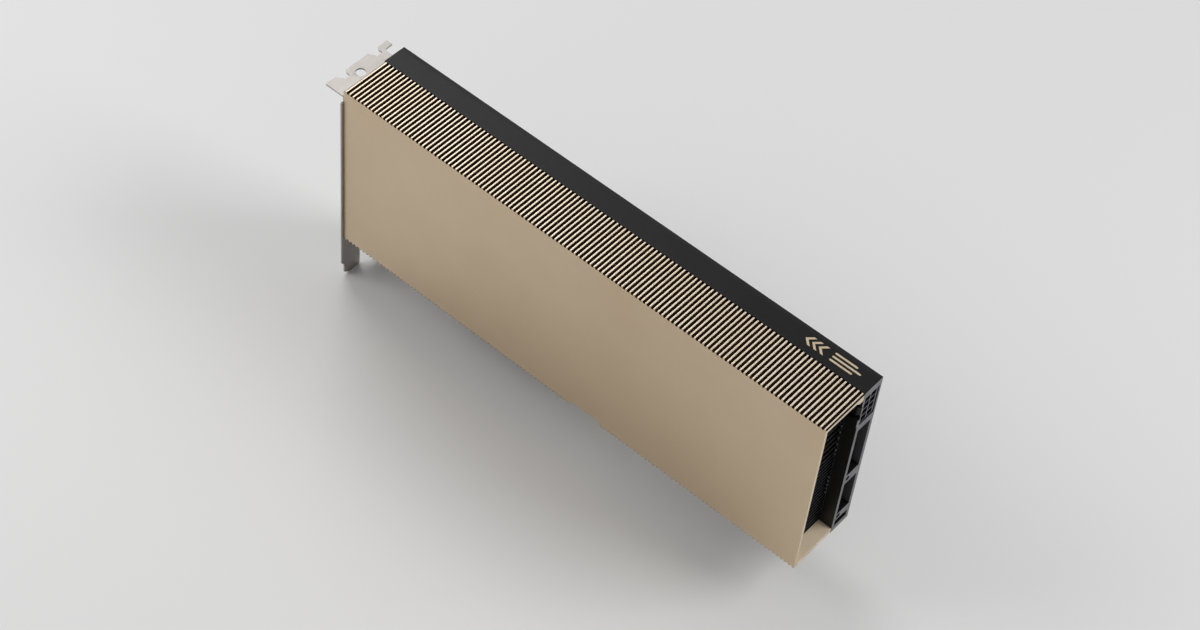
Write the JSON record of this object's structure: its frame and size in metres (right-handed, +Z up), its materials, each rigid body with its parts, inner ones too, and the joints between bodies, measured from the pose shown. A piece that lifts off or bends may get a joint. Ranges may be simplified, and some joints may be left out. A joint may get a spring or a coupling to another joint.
{
  "type": "passive accelerator card",
  "caption": "Dual-slot, full-height server accelerator card with a ribbed metal shroud over a finned heatsink, cooled by the chassis air that blows through it from the tail.",
  "frame": {"origin": "middle of the key notch in the contact tongue, at the tongue's lower edge and halfway through the board's thickness", "axes": "+X along the length from the bracket to the tail, +Y from the shroud to the back plate, +Z up from the contact tongue to the card's top edge"},
  "size_m": [0.2791, 0.0404, 0.1244],
  "materials": {
    "shroud": "champagne anodised, satin",
    "frame": "semi-gloss black",
    "back_plate": "semi-gloss black",
    "film": "matte",
    "board": "solder mask",
    "contacts": "gold plated",
    "substrate": "laminate",
    "silicon": "polished",
    "paste": "matte",
    "chip": "moulded",
    "thermal_pad": "soft",
    "inductor": "pressed powder",
    "capacitor": "moulded",
    "heatsink": "machined",
    "copper": "drawn copper",
    "fins": "dark sheet",
    "header": "moulded nylon",
    "pins": "tin plated",
    "bracket": "nickel plated",
    "screws": "zinc plated",
    "black_screws": "black oxide"
  },
  "bodies": {
    "root": {"shroud": "shroud", "side_frame": "frame", "back_plate": "back_plate", "insulating_sheet": "film", "circuit_board": "board", "edge_contacts": "contacts", "processor_substrates": "substrate", "processor_dies": "silicon", "thermal_paste": "paste", "memory_chips": "chip", "memory_pads": "thermal_pad", "switch_chip": "chip", "switch_pad": "thermal_pad", "power_stages": "chip", "power_stage_pads": "thermal_pad", "power_inductors": "inductor", "capacitors": "capacitor", "base_plate": "heatsink", "heat_pipes": "copper", "fin_stack": "fins", "power_header": "header", "header_pins": "pins", "io_bracket": "bracket", "bracket_screws": "screws", "shroud_screws": "black_screws", "back_plate_screws": "black_screws"}
  },
  "joints": []
}
